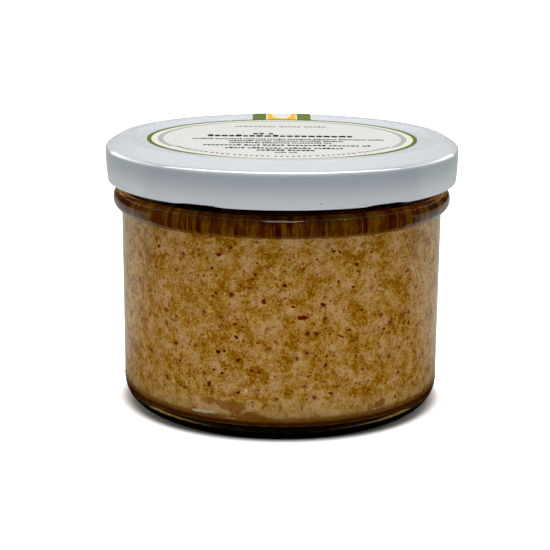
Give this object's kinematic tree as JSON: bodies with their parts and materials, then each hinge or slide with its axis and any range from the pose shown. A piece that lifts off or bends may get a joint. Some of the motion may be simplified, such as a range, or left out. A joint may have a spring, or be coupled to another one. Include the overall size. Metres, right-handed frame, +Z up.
{
  "type": "jar of spread with twist-off lid",
  "caption": "Short round clear glass jar filled with coarse light-brown spread, closed by a white twist-off lid with a round paper label and a paper strip over the rim.",
  "frame": {"origin": "centre of the foot, on the surface that the jar stands on", "axes": "+Z up along the axis of the jar, +Y towards the paper strip over the rim of the lid, -Y towards the plain front"},
  "size_m": [0.0852, 0.0853, 0.0658],
  "materials": {
    "clear_glass": "clear, polished",
    "brown_spread": "coarse, moist, speckled with darker bits",
    "white_lacquer": "gloss white lacquer",
    "label_paper": "matt print with green and cream rings",
    "strip_paper": "matt print with green, yellow and white fields"
  },
  "bodies": {
    "root": {"glass_jar": "clear_glass", "spread": "brown_spread", "lid": "white_lacquer", "lid_label": "label_paper", "lid_strip": "strip_paper"}
  },
  "joints": []
}
